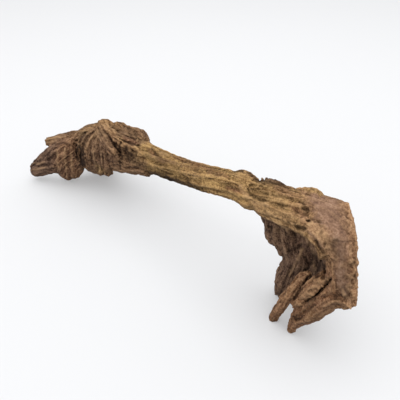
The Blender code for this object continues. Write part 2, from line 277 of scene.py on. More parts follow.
def ribStations(guide, turn, radius, twist):
    # a thin fibre that lies on the guide's surface and winds slowly round it
    stations = []
    last = len(guide) - 1
    for step, (x, y, z, thick) in enumerate(guide):
        before = Vector(guide[max(step - 1, 0)][:3])
        after = Vector(guide[min(step + 1, last)][:3])
        heading = (after - before).normalized()
        side = heading.cross(Vector((0, 0, 1))).normalized()
        above = side.cross(heading)
        angle = math.tau * (turn + twist * step / last)
        outward = side * math.cos(angle) + above * math.sin(angle)
        place = Vector((x, y, z)) + outward * thick * root["ribSeat"]
        stations.append((*place, radius))
    return stations


def applied(piece):
    # the piece with its modifiers made real
    graph = bpy.context.evaluated_depsgraph_get()
    mesh = bpy.data.meshes.new_from_object(piece.evaluated_get(graph))
    old = piece.data
    piece.modifiers.clear()
    piece.data = mesh
    bpy.data.meshes.remove(old)


def remeshed(piece, voxel):
    remesh = piece.modifiers.new("fuse", "REMESH")
    remesh.mode = "VOXEL"
    remesh.voxel_size = voxel
    applied(piece)


print("limbs")
body = bmesh.new()
flowPoints, flowHeadings, flowLooks, flowLengths = [], [], [], []
lookNames = list(finishes["shaft"])
runs = []
for finish, fibres, stations in limbs.values():
    runs.append((finish, stations))
    if fibres:
        count, radius, twist = fibres
        runs += [(finish, ribStations(stations, number / count, radius, twist)) for number in range(count)]
chance = np.random.default_rng(12)
lines = np.array(skirt["lines"], float)
for place in np.linspace(0, len(lines) - 1, skirt["fibres"]):
    lower = min(int(place), len(lines) - 2)
    fibre = lines[lower] + (lines[lower + 1] - lines[lower]) * (place - lower)
    fibre = fibre + chance.uniform(-1, 1, fibre.shape) * skirt["wander"]
    thick = skirt["thick"] * chance.uniform(0.85, 1.2, (len(fibre), 1))
    runs.append((skirt["finish"], np.hstack([fibre, thick])))
for tooth in range(comb["count"]):
    foot = Vector(comb["start"]).lerp(Vector(comb["end"]), tooth / (comb["count"] - 1))
    tip = foot + Vector(comb["lean"]) * (comb["shortest"] + comb["uneven"] * ((tooth * 7) % 3) / 2)
    stations = [(*foot, comb["thick"]), (*foot.lerp(tip, 0.5), comb["thick"]), (*tip, comb["thin"])]
    runs.append(("black", stations))
for number, (finish, run) in enumerate(runs):
    line, heading = addLimb(body, run)
    flowPoints.append(line)
    flowHeadings.append(heading)
    flowLooks.append(np.tile([finishes[finish][look] for look in lookNames], (len(line), 1)))
    steps = np.linalg.norm(np.diff(line[:, :3], axis=0), axis=1)
    flowLengths.append(np.concatenate([[0.0], np.cumsum(steps)]) + root["patternShift"] * number)
flowPoints = np.vstack(flowPoints)[::2]
flowHeadings = np.vstack(flowHeadings)[::2]
flowLooks = np.vstack(flowLooks)[::2]
flowLengths = np.concatenate(flowLengths)[::2]
flowPoints[:, :3] += root["seat"]

seat = Matrix.Scale(millimetre, 4) @ Matrix.Translation(root["seat"])
bmesh.ops.transform(body, matrix=seat, verts=body.verts)
wood = addPiece("rootWood", meshFrom(body, "rootWood"))
voxel = root["voxel"] * millimetre
remeshed(wood, voxel)

print("split and sawn facets")
cutter = bmesh.new()
front = [cutter.verts.new(point) for point in root["split"]["path"]]
edges = [cutter.edges.new(pair) for pair in zip(front, front[1:])]
back = bmesh.ops.extrude_edge_only(cutter, edges=edges)["geom"]
backPoints = [item for item in back if isinstance(item, bmesh.types.BMVert)]
bmesh.ops.translate(cutter, vec=root["split"]["through"], verts=backPoints)
bmesh.ops.transform(cutter, matrix=seat, verts=cutter.verts)
sheet = addPiece("splitSheet", meshFrom(cutter, "splitSheet"))
width = sheet.modifiers.new("width", "SOLIDIFY")
width.thickness = root["split"]["width"] * millimetre
width.offset = 0.0
opened = wood.modifiers.new("split", "BOOLEAN")
opened.operation = "DIFFERENCE"
opened.solver = "MANIFOLD"
opened.object = sheet
applied(wood)
bpy.data.objects.remove(sheet)

shape = bmesh.new()
shape.from_mesh(wood.data)
planes = [(Vector(point) + Vector(root["seat"]), Vector(facing)) for point, facing in root["sawnFacets"]]
point, facing = root["brokenCorner"]
planes.append((Vector(point) + Vector(root["seat"]), Vector(facing)))
planes.append((Vector((0, 0, 0)), Vector((0, 0, -1))))
for point, facing in planes:
    everything = shape.verts[:] + shape.edges[:] + shape.faces[:]
    cutLine = bmesh.ops.bisect_plane(
        shape, geom=everything, plane_co=point * millimetre, plane_no=facing, clear_outer=True, dist=1e-7
    )["geom_cut"]
    openEdges = [item for item in cutLine if isinstance(item, bmesh.types.BMEdge)]
    bmesh.ops.holes_fill(shape, edges=openEdges, sides=0)
shape.to_mesh(wood.data)
shape.free()
remeshed(wood, voxel)


def neighbours(mesh):
    pairs = np.empty(len(mesh.edges) * 2, np.int64)
    mesh.edges.foreach_get("vertices", pairs)
    first, second = pairs.reshape(-1, 2).T
    return np.concatenate([first, second]), np.concatenate([second, first])


def spread(values, rounds, amount=1.0):
    # each point takes on its neighbours' average
    flat = values.reshape(len(values), -1)
    for _ in range(rounds):
        near = np.stack([np.bincount(fromPoint, column[toPoint], len(flat)) for column in flat.T], axis=1)
        flat = flat + amount * (near / share[:, None] - flat)
    return flat.reshape(values.shape)


def normalsAt(points):
    mesh = wood.data
    mesh.vertices.foreach_set("co", (points * millimetre).ravel())
    mesh.update()
    normals = np.empty(len(points) * 3)
    mesh.vertices.foreach_get("normal", normals)
    return normals.reshape(-1, 3)


def valueNoise(points, cell, seed):
    # smooth random values from 0 to 1, one cell in millimetres wide
    side = 64
    table = np.random.default_rng(seed).random((side, side, side))
    scaled = points / cell + 17.3
    base = np.floor(scaled).astype(int)
    part = scaled - base
    part = part * part * (3 - 2 * part)
    total = np.zeros(len(points))
    for corner in np.ndindex(2, 2, 2):
        weight = np.prod(np.where(corner, part, 1 - part), axis=1)
        total += weight * table[tuple(((base + corner) % side).T)]
    return total


def streaks(points, cell, reach, seed):
    # noise drawn out along the grain, with an average of 0 and a spread of 1
    total = np.zeros(len(points))
    steps = np.arange(-reach, reach + 1e-6, cell * 0.8)
    for step in steps:
        total += valueNoise(points + flow * step, cell, seed)
    total -= total.mean()
    return np.clip(total / total.std(), -2.5, 2.5)


def ramped(values, low, high):
    part = np.clip((values - low) / (high - low), 0, 1)
    return part * part * (3 - 2 * part)


print("grain direction")
mesh = wood.data
points = np.empty(len(mesh.vertices) * 3)
mesh.vertices.foreach_get("co", points)
points = points.reshape(-1, 3) / millimetre
toPoint, fromPoint = neighbours(mesh)
share = np.maximum(np.bincount(fromPoint, minlength=len(points)), 1)
points = spread(points, root["smoothing"], 0.5)
normals = normalsAt(points)
tensors = np.einsum("ni,nj->nij", flowHeadings, flowHeadings).reshape(-1, 9)
carried = np.hstack([tensors, flowLooks, np.ones((len(tensors), 1))]).astype(np.float32)
centres = flowPoints[:, :3].astype(np.float32)
thickness = flowPoints[:, 3].astype(np.float32)
blended = np.empty((len(points), carried.shape[1]))
nearest = np.empty(len(points), int)
for start in range(0, len(points), root["flowBlock"]):
    part = slice(start, start + root["flowBlock"])
    block = points[part].astype(np.float32)
    squared = (block**2).sum(1)[:, None] + (centres**2).sum(1) - 2 * block @ centres.T
    gap = np.sqrt(np.maximum(squared, 0)) - thickness
    nearest[part] = gap.argmin(axis=1)
    weight = np.exp(-((np.maximum(gap, 0) / root["flowReach"]) ** 2)) + 1e-9
    blended[part] = weight @ carried
blended = spread(blended / blended[:, -1:], root["flowRounds"], 0.5)
tensors = blended[:, :9].reshape(-1, 3, 3)
flat = np.eye(3) - np.einsum("ni,nj->nij", normals, normals)
flow = np.linalg.eigh(flat @ tensors @ flat)[1][:, :, 2]
look = dict(zip(lookNames, blended[:, 9:-1].T))
# each point's place on its nearest limb, in mm: how far along it, and where across it
fromCentre = points - flowPoints[nearest, :3]
onward = (fromCentre * flowHeadings[nearest]).sum(1)
grainAlong = flowLengths[nearest] + onward
grainAcross = fromCentre - flowHeadings[nearest] * onward[:, None]

# What stands on the surface where the photograph shows it. A mark is drawn from pixel to pixel of the
# picture, and lies on the wood that is seen there. It has a kind, a width in millimetres and a strength.
# crack and cut push the wood in and darken it with painted shade, and a cut runs unbroken. scoop pushes it
# in, calms it and darkens it with painted shade, and ridge lifts it and pales it, partly as worn fibre and
# partly as a painted highlight. The strength of these four is a depth in millimetres. The others take 0 to
# about 1: pale, stain, rust, yellow and black only colour the wood, rough gives it pits and bumps, and quiet
# takes most of its relief away. The stain marks are real stains and also painted shade in crevices, between
# parts and under the shaft and its edges. The black marks are painted shade in crevices, gaps and splits. The
# pale marks are paler fibre, and along the shaft's middle they are a painted highlight.
marks = {
    "mouthFurrow": ("crack", 2.0, 1.5, [(32, 165), (38, 166.5), (43, 165), (48, 165)]),
    "upperFurrow": ("crack", 2.0, 1.4, [(34, 161.5), (39, 161), (42, 158)]),
    "lowerLip": ("ridge", 2.2, 0.9, [(32, 170), (38.5, 169), (46.5, 166.8)]),
    "upperLip": ("ridge", 2.0, 0.8, [(33, 163.3), (39, 163.8), (45, 161.5)]),
    "hornShade": ("crack", 2.2, 1.2, [(48, 144), (56, 144.5), (64, 143.5), (70, 144.5)]),
    "hornTop": ("ridge", 2.2, 0.6, [(46, 137), (55, 137), (66, 136.5)]),
    "crevice": ("cut", 6.0, 5.0, [(77.5, 149), (79.5, 155), (81, 160), (84.5, 165)]),
    "crevice2": ("cut", 5.5, 0.6, [(78, 149), (79, 153), (80.5, 157), (84, 164)]),
    # creviceDark, creviceDark2 and creviceShade paint shade into the crevice between cheek and skirt
    "creviceDark": ("black", 4.5, 1.0, [(76, 149), (77.5, 155), (80, 161), (83, 166)]),
    "creviceDark2": ("black", 3.5, 0.9, [(82, 147), (82.5, 155), (84.5, 163)]),
    "creviceShade": ("stainAndShade", 8.0, 1.0, [(78, 147), (79, 151), (80.5, 157), (84, 164)]),
    "cheekDark1": ("cut", 1.7, 0.6, [(54, 150), (53, 158), (55, 166), (57, 172)]),
    "cheekDark2": ("cut", 1.7, 0.6, [(61, 148), (60, 157), (62, 166), (63, 174)]),
    "cheekDark3": ("cut", 1.7, 0.6, [(68, 150), (67.5, 160), (69.5, 170), (70, 178)]),
    "cheekDark4": ("cut", 1.7, 0.6, [(73.5, 154), (75, 163), (75.5, 172)]),
    # painted shadow between the snout and the cheek
    "snoutShade": ("stainAndShade", 3.0, 0.6, [(47, 150), (48.5, 158), (49, 167)]),
    "cheekPale1": ("ridge", 2.0, 0.8, [(57.5, 150), (56.8, 160), (59, 170)]),
    "cheekPale2": ("ridge", 2.0, 0.9, [(64.5, 148), (64, 158), (66, 168), (67, 177)]),
    "cheekPale3": ("ridge", 1.8, 0.7, [(70.5, 152), (71.5, 162), (72.5, 172)]),
    "fanDark1": ("crack", 3.0, 2.4, [(85, 133), (81, 138), (79, 143)]),
    "fanDark2": ("crack", 3.0, 2.6, [(93, 131.5), (87, 137), (83.5, 144), (83, 150)]),
    "fanPale1": ("ridge", 2.2, 1.2, [(95, 130), (95.5, 134), (88, 141), (85.5, 150)]),
    "fanPale2": ("ridge", 2.0, 1.0, [(79.5, 135), (86, 130.5), (94, 128)]),
    "skirtDark1": ("crack", 2.0, 1.8, [(92, 143), (91, 147), (90, 152), (91.5, 157), (90.8, 163)]),
    "skirtDark2": ("crack", 2.2, 2.0, [(99, 145), (98, 150), (99.5, 155), (99, 160), (101, 166), (102, 172)]),
    "skirtDark3": ("crack", 2.0, 1.8, [(105.5, 149), (107.5, 154), (107, 159), (109.5, 164), (110.6, 168)]),
    "skirtDark4": ("crack", 1.7, 1.4, [(96, 152), (94.8, 157), (96, 163), (97.5, 168)]),
    "skirtDark5": ("crack", 1.7, 1.4, [(103, 154), (103.5, 160), (105, 167)]),
    "skirtDark6": ("crack", 1.8, 1.6, [(112.5, 156), (113, 162), (114.5, 168)]),
    "skirtGold": ("yellow", 6.0, 0.9, [(97, 167), (101, 171), (105, 172)]),
    "skirtLight": ("pale", 3.0, 0.6, [(99, 169), (103, 172)]),
    "skirtPale": ("ridge", 1.8, 0.7, [(95.5, 146), (93.5, 153), (94.5, 160), (97, 168)]),
    "whorl1": ("ridge", 1.6, 0.9, [(96, 126), (97.5, 131), (99, 137), (102, 142)]),
    "whorl2": ("ridge", 1.6, 0.9, [(99, 124.5), (102, 130), (106, 137), (109, 144)]),
    "whorl3": ("ridge", 1.6, 0.8, [(102, 123.5), (107, 128.5), (111, 135)]),
    "whorl4": ("ridge", 1.5, 0.7, [(106, 123), (111, 127), (116, 133)]),
    "whorlRough": ("rough", 7.0, 0.7, [(102, 128), (109, 135), (116, 142)]),
    "whorlShade": ("stainAndShade", 8.0, 0.6, [(101, 130), (107, 138), (114, 146)]),
    "whorlDark1": ("crack", 1.5, 1.3, [(97.5, 127), (100, 132), (103, 139)]),
    "whorlDark2": ("crack", 1.5, 1.3, [(101, 125), (105, 130.5), (109, 137.5)]),
    "whorlDark3": ("crack", 1.5, 1.2, [(105, 124), (110, 129), (115, 136)]),
    # painted shade in the gap beside the tongue
    "tongueDark": ("black", 2.2, 0.8, [(112.5, 141.5), (117, 148), (119.5, 153), (118.5, 158)]),
    "tongueTip": ("pale", 2.6, 0.45, [(112, 148), (114, 151), (116, 154.5)]),
    "tongueLeft": ("cut", 1.6, 1.3, [(98.5, 134), (102.5, 141), (107, 147.5), (112.5, 154.5), (115.5, 158)]),
    "tongueRight": ("cut", 1.9, 2.2, [(107.5, 134), (112.5, 141.5), (117, 148), (119.5, 153), (118.5, 158)]),
    "tongueRough": ("rough", 4.0, 0.8, [(99, 130), (105, 138), (110, 144.5), (114, 151)]),
    "tonguePale": ("ridge", 1.5, 0.4, [(101, 130), (106, 138), (110, 144.5), (114, 151)]),
    "sideCrevice": ("cut", 2.2, 2.2, [(121, 142), (119.5, 150), (121, 158), (119.8, 164), (120.5, 170)]),
    "ridgeSlit": ("cut", 2.2, 3.0, [(120, 139), (126, 141.5), (132, 143), (136, 145.5), (141, 146)]),
    "ridgeCrack": ("cut", 1.7, 2.2, [(126, 136), (132, 138.2), (135.6, 139.6), (137, 138.5)]),
    "ridgeSlit2": ("cut", 1.5, 1.6, [(129, 133), (134, 135), (139, 139), (143, 140.5)]),
    "ridgeShade": ("stainAndShade", 8.0, 0.55, [(112, 128), (122, 133), (132, 137), (141, 142)]),
    "ridgeRust": ("rust", 4.0, 0.9, [(124, 138), (132, 141), (141, 144)]),
    "backLine": ("crack", 2.2, 1.6, [(122, 125), (131, 130), (139, 135), (147, 142)]),
    "goldRidge": ("pale", 5.0, 0.35, [(112, 127), (122, 131), (134, 136), (146, 143)]),
    "speckle": ("stainAndShade", 10.0, 1.0, [(126, 148), (129, 154), (134, 160), (140, 166)]),
    "patchRough": ("rough", 9.0, 0.8, [(124, 147), (129, 154), (135, 160), (143, 166)]),
    "scribble1": ("crack", 1.5, 0.9, [(127, 147), (125.5, 150), (129, 153), (127, 157)]),
    "scribble2": ("crack", 1.5, 0.9, [(131, 148), (134, 152), (131, 156), (135, 160)]),
    "scribble3": ("crack", 1.5, 0.9, [(137, 154), (139, 159), (144, 162)]),
    "scribblePale": ("pale", 1.5, 0.8, [(128, 147), (130, 151), (127, 155), (131, 158)]),
    "speckle2": ("stainAndShade", 6.0, 0.6, [(140, 160), (148, 168), (156, 172)]),
    "yellowPatch": ("yellow", 4.5, 1.0, [(159, 153), (167, 156.5)]),
    "yellowLight": ("pale", 3.5, 0.7, [(160, 153.5), (166, 156)]),
    "redPatch": ("rust", 5.0, 1.0, [(150, 150), (155, 156), (161, 160), (167, 161.5), (174, 162)]),
    "leftShade": ("stainAndShade", 9.0, 0.45, [(146, 153), (156, 161), (168, 167), (180, 171)]),
    "redShade": ("stainAndShade", 3.5, 0.8, [(152, 148), (157, 157), (163, 160), (170, 161)]),
    "redStreak1": ("rust", 3.0, 0.9, [(172, 156), (186, 161), (200, 165), (216, 171)]),
    "redStreak2": ("rust", 4.0, 0.9, [(208, 172), (218, 174), (228, 176)]),
    "redStreak3": ("rust", 3.5, 1.0, [(226, 187), (234, 190), (243, 192)]),
    "redStreak4": ("rust", 5.0, 0.8, [(276, 188), (288, 193), (300, 199)]),
    "redStreak5": ("rust", 5.0, 0.8, [(290, 205), (300, 212), (308, 222)]),
    # underDark, underShade, shaftPale and topShade paint the shaft's light and shade: painted shade along its
    # underside and top edge, and a painted highlight along its middle
    "underDark": ("black", 4.4, 0.75, [(154, 173), (163, 177.5), (172, 181.5), (183, 186), (196, 190.5)]),
    "underShade": ("stainAndShade", 8.5, 1.0, [
        (150, 172), (160, 174), (170, 179.5), (181, 184), (193, 188), (206, 193)]),
    "shaftPale": ("pale", 7.0, 0.25, [(170, 163), (190, 169), (210, 175)]),
    "topShade": ("stainAndShade", 3.0, 0.35, [(158, 150.5), (172, 156), (188, 161), (205, 166), (226, 171)]),
    "ovalShade": ("stainAndShade", 4.5, 0.8, [(179, 177.5), (185, 180), (191, 183)]),
    "smallShade": ("stainAndShade", 4.0, 0.5, [(213, 173), (220, 175.5)]),
    # painted shade under the knot's edge and between the comb's splinters
    "knotEdge1": ("stainAndShade", 2.2, 1.0, [(233, 171.5), (238, 170.3), (244, 170.6)]),
    "knotEdge2": ("stainAndShade", 2.4, 1.0, [(247, 172), (251, 174), (254, 178)]),
    "combDark": ("black", 3.2, 0.8, [(257, 181), (262, 181.5), (268, 182), (276, 183), (284, 186)]),
    "pit1": ("crack", 1.6, 1.0, [(228, 186), (233, 188), (240, 190.5)]),
    "pit2": ("crack", 1.6, 1.0, [(231, 190.5), (237, 193)]),
    "scoop": ("scoop", 8.5, 3.0, [(252, 187), (258, 193), (266, 196.5)]),
    "scoopEdge": ("cut", 2.0, 1.8, [(247, 188), (250, 194), (255, 198.3), (262, 200.6), (270, 200.6)]),
    "scoopLip": ("ridge", 3.4, 0.9, [(240, 187), (244, 193), (250, 199.5), (258, 204), (268, 205)]),
    "scoopCalm": ("quiet", 6.0, 1.0, [(240, 187), (245, 194), (252, 201), (262, 204.5), (272, 205)]),
    "roofDark1": ("crack", 1.6, 0.9, [(260, 186), (273, 190.5), (286, 192)]),
    "roofDark2": ("crack", 1.6, 0.9, [(264, 193.5), (278, 197), (299, 199)]),
    "roofPale": ("pale", 14.0, 0.3, [(256, 207), (272, 210), (286, 214), (298, 220)]),
    "roofEye": ("crack", 2.4, 1.8, [(278.5, 205), (288, 206)]),
    "roofHole1": ("crack", 2.4, 2.6, [(303, 208), (310, 211.5)]),
    "roofHole2": ("crack", 2.2, 3.0, [(307, 220), (311, 222)]),
    "roofHole3": ("crack", 2.2, 2.6, [(294, 225.5), (300, 228), (306, 228.5)]),
    "seamLine": ("black", 1.5, 0.7, [(300, 199), (304, 205), (307, 212), (309, 220)]),
    "dimple": ("crack", 2.0, 0.9, [(314, 222), (319, 221.5), (323, 223.5)]),
    "crease": ("stainAndShade", 1.3, 0.45, [(334, 240), (343, 241.5), (352, 241)]),
    "creaseLine": ("crack", 1.2, 0.7, [(333, 240), (340, 241.3), (347, 241.5), (354, 241)]),
    "faceShade": ("stainAndShade", 11.0, 0.65, [(333, 243), (340, 256), (343, 270), (342, 284), (346, 296)]),
    "blot": ("stainAndShade", 4.0, 0.55, [(338, 267.5), (341, 268.5)]),
    "rimLight": ("ridge", 2.2, 0.7, [(264, 217.5), (282, 226), (296, 232), (304, 237.5)]),
    "rimInner": ("crack", 1.8, 1.8, [(315.4, 240.3), (321.3, 250.2), (323.3, 254.2)]),
    "rimUnder": ("cut", 1.8, 1.6, [(296.6, 232.4), (303.5, 238.4)]),
    "rimPale": ("pale", 2.2, 0.6, [(299.6, 230.5), (307.5, 240.3), (313.4, 248.2), (315.4, 256)]),
    "roughEdge1": ("rough", 6.0, 0.9, [
        (301, 190), (304, 198), (307, 208), (309, 220), (316, 229), (324, 238)]),
    "roughEdge2": ("rough", 4.5, 0.8, [(320, 234), (328, 245), (333, 256), (336, 266)]),
    "roughEdge3": ("rough", 6.0, 0.6, [(343, 204), (347, 214), (350, 226), (353, 240)]),
    "roughEdge4": ("rough", 6.5, 1.25, [(354, 240), (355, 252), (354, 268), (354, 284), (353, 296)]),
    "goldBumps": ("pale", 4.5, 0.8, [(318, 232), (322, 235), (325, 238)]),
    "goldSeam": ("yellow", 5.0, 0.6, [(309, 222), (316, 229), (324, 238), (330, 248)]),
    "seamRough": ("rough", 7.0, 1.0, [(308, 222), (315, 228), (323, 236), (329, 246)]),
    "hollowRough": ("rough", 10.0, 0.4, [(270, 222), (281, 238), (293, 252), (300, 268)]),
    "lobeRing": ("crack", 1.5, 1.0, [(268, 226), (272, 227.5), (272, 231), (268, 232), (266.5, 229)]),
    "hollowDark1": ("crack", 2.2, 1.8, [(288, 252), (293, 249), (298, 248), (302, 244)]),
    "hollowDark2": ("crack", 2.4, 2.4, [(315, 255), (319, 267), (316.5, 278)]),
    "hollowDark3": ("crack", 2.4, 2.4, [(322, 260), (325.5, 270), (322.5, 279)]),
    "hollowNotch": ("crack", 2.4, 2.0, [(309, 263.5), (313.5, 264)]),
    "hollowPale1": ("ridge", 2.2, 1.0, [(312.5, 262), (313.5, 270), (311, 277)]),
    "hollowPale2": ("ridge", 2.2, 1.0, [(302, 250), (297, 262), (289, 276)]),
    "slit": ("cut", 1.6, 2.8, [(331.2, 277.9), (321.3, 288.8), (313.4, 297.7), (301.5, 303.1)]),
    # painted shade in the split
    "slitDark": ("black", 2.2, 1.0, [(315, 297), (309, 301), (302, 303)]),
    "prongGap": ("cut", 1.7, 2.2, [(310.5, 275), (304.5, 283), (298.6, 292), (293, 300)]),
    "stubRough": ("rough", 6.0, 0.5, [(322, 283), (314, 289), (305, 296), (298, 303)]),
    "stubPale": ("pale", 7.0, 0.45, [(325, 281), (315, 287), (307, 295)]),
    "stubCrack": ("crack", 1.6, 0.9, [(308.5, 291), (312, 289.5), (317, 289)]),
    "stubCrack2": ("crack", 1.6, 0.9, [(311, 284), (318, 283), (324, 284)]),
    "postCurl": ("ridge", 1.8, 0.35, [(342, 289), (344, 294), (348, 298)]),
    "postCurlDark": ("crack", 1.6, 0.6, [(344.5, 288), (346.5, 293), (350, 297)]),
    "thumbGrain1": ("crack", 1.8, 0.9, [(345, 285), (334, 297), (320, 305), (311, 311)]),
    "thumbGrain2": ("crack", 1.8, 0.9, [(350, 294), (340, 303), (325, 311), (313, 317)]),
    "thumbTip": ("crack", 2.2, 1.4, [(291, 315), (295, 319), (299, 320)]),
}

# The smooth mauve face of the crown, as the photograph outlines it
smoothFace = [
    (303, 192), (322, 196), (346, 199), (353, 225), (358, 262), (359, 304), (344, 296), (336, 284),
    (335, 266), (327, 252), (314, 240), (306, 230), (312, 215), (305, 203),
]


def cameraTurn():
    return Matrix.Rotation(math.radians(camera["azimuth"]), 3, "Z") @ Matrix.Rotation(
        math.radians(90 - camera["pitch"]), 3, "X"
    )


def pixelRay(u, v):
    half = camera["picture"] / 2
    ray = Vector(((u - half) / camera["focalPixels"], (half - v) / camera["focalPixels"], -1))
    return (cameraTurn() @ ray).normalized()


def pixelsOf(points):
    turned = (points * millimetre - np.array(camera["place"])) @ np.array(cameraTurn())
    half = camera["picture"] / 2
    scaled = camera["focalPixels"] / -turned[:, 2]
    return half + turned[:, 0] * scaled, half - turned[:, 1] * scaled


def onWood(tree, path):
    # for a line of pixels, one pixel apart: the rays that meet the wood, and how far along them it is
    rays, reach = [], []
    for (u0, v0), (u1, v1) in zip(path, path[1:]):
        pieces = max(1, round(math.hypot(u1 - u0, v1 - v0)))
        for step in range(pieces):
            ray = pixelRay(u0 + (u1 - u0) * step / pieces, v0 + (v1 - v0) * step / pieces)
            found = tree.ray_cast(Vector(camera["place"]), ray)[3]
            if found is not None:
                rays.append(ray)
                reach.append(found / millimetre)
    return np.array(rays), np.array(reach)


def insideOutline(u, v, outline):
    # how far inside the outline a pixel is, in pixels, and below 0 outside it
    inside = np.zeros(len(u), bool)
    nearest = np.full(len(u), 1e9)
    for (u0, v0), (u1, v1) in zip(outline, outline[1:] + outline[:1]):
        crosses = (v0 > v) != (v1 > v)
        at = u0 + (v - v0) * (u1 - u0) / (v1 - v0 if v1 != v0 else 1e-9)
        inside ^= crosses & (u < at)
        span = (u1 - u0) ** 2 + (v1 - v0) ** 2
        part = np.clip(((u - u0) * (u1 - u0) + (v - v0) * (v1 - v0)) / span, 0, 1)
        nearest = np.minimum(nearest, np.hypot(u - u0 - part * (u1 - u0), v - v0 - part * (v1 - v0)))
    return np.where(inside, nearest, -nearest)


# Widths of the relief's patterns in millimetres. A second value is the reach along the grain.
patterns = {
    "warp": 13.0,
    "warpShift": 5.0,
    "lumps": (9.0, 14.0),
    "knobs": 6.0,
    "strands": (3.2, 20.0),
    "fibres": (1.9, 15.0),
    "lanes": 2.0,
    "laneDrift": 0.07,  # how far a lane moves aside for each millimetre along
    "pits": 2.6,
    "pitStretch": 1.0,
    "grit": 1.5,
    "bandPits": 2.4,
    "roughPits": 1.9,
    "roughBumps": 2.4,
}

# How high or deep each pattern is. The first six are shares of the finish's own depth, and the pits'
# share is of the grain's depth plus 0.3. The rest are in millimetres.
depths = {
    "lumps": 0.7,
    "knobs": 0.45,
    "thinFurrows": 0.8,
    "fibres": 0.5,
    "lanes": 1.3,
    "grit": 1.2,
    "pits": 0.6,
    "bandPits": 0.8,
    "roughPits": 1.0,
    "roughBumps": 0.9,
    "roughGrit": 0.8,
}

# How a mark is torn at its edge and broken along its length
markEdge = {
    "turnedAway": -0.35,  # wood that faces away from the camera more than this gets no marks
    "slack": 3.0,  # millimetres nearer or farther than its line, past its width, that still count as on it
    "ends": 0.65,  # its width at both ends, and what the middle adds to that
    "middle": 0.35,
    "raggedCells": (2.4, 1.3),
    "brokenCell": 4.5,
    "speckleCell": 1.8,
}

print("relief")
tree = BVHTree.FromPolygons(
    [Vector(point * millimetre) for point in points], [tuple(face.vertices) for face in wood.data.polygons]
)
fromCamera = points - np.array(camera["place"]) / millimetre
toCamera = -fromCamera / np.linalg.norm(fromCamera, axis=1, keepdims=True)
facing = (normals * toCamera).sum(1)
u, v = pixelsOf(points)
raggedEdge = 6.0 * (valueNoise(points, 4.0, 51) - 0.5) + 3.0 * (valueNoise(points, 2.0, 53) - 0.5)
smoothPart = ramped(insideOutline(u, v, smoothFace) + raggedEdge, -2.0, 2.5) * ramped(facing, -0.1, 0.25)
sawn = np.zeros(len(points))
band = np.zeros(len(points))
for point, outward in planes[:2]:
    outward = np.array(outward.normalized())
    depth = (np.array(point) - points) @ outward
    sawn = np.maximum(sawn, ramped(depth, 1.2, 0.5) * ramped(normals @ outward, 0.8, 0.95))
    band = np.maximum(band, ramped(depth, 7.0, 1.5))
band *= 1 - sawn

unwarped = points
warp = np.stack([valueNoise(points, patterns["warp"], seed) for seed in (41, 43, 45)], axis=1) - 0.5
points = unwarped + warp * patterns["warpShift"]
lumps = streaks(points, *patterns["lumps"], 3)
knobs = valueNoise(points, patterns["knobs"], 4) + 0.5 * valueNoise(points, patterns["knobs"] / 2, 6)
knobs = (knobs - knobs.mean()) / knobs.std()
strands = streaks(points, *patterns["strands"], 5)
fibres = streaks(points, *patterns["fibres"], 7)
drift = grainAlong[:, None] * patterns["laneDrift"]
lanes = valueNoise(grainAcross + drift, patterns["lanes"], 9) - 0.5
drawn = flow * patterns["pitStretch"]
pits = valueNoise(points + drawn, patterns["pits"], 11) + valueNoise(points - drawn, patterns["pits"], 11)
grit = valueNoise(points, patterns["grit"], 13) - 0.5
points = unwarped
calm = 1 - 0.9 * np.maximum(smoothPart, sawn)
furrows = ramped(-strands, 0.5, 1.7)
thinFurrows = ramped(-fibres, 0.5, 1.6)
pitted = ramped(pits, 1.45, 1.7)
rise = look["lump"] * (depths["lumps"] * lumps + depths["knobs"] * knobs)
rise -= look["strand"] * furrows
rise -= look["grain"] * depths["thinFurrows"] * thinFurrows
rise += look["grain"] * (depths["fibres"] * fibres + depths["lanes"] * lanes + depths["grit"] * grit)
rise -= depths["pits"] * pitted * (0.3 + look["grain"])
rise *= calm
rise -= band * depths["bandPits"] * ramped(valueNoise(points, patterns["bandPits"], 21), 0.55, 0.8)

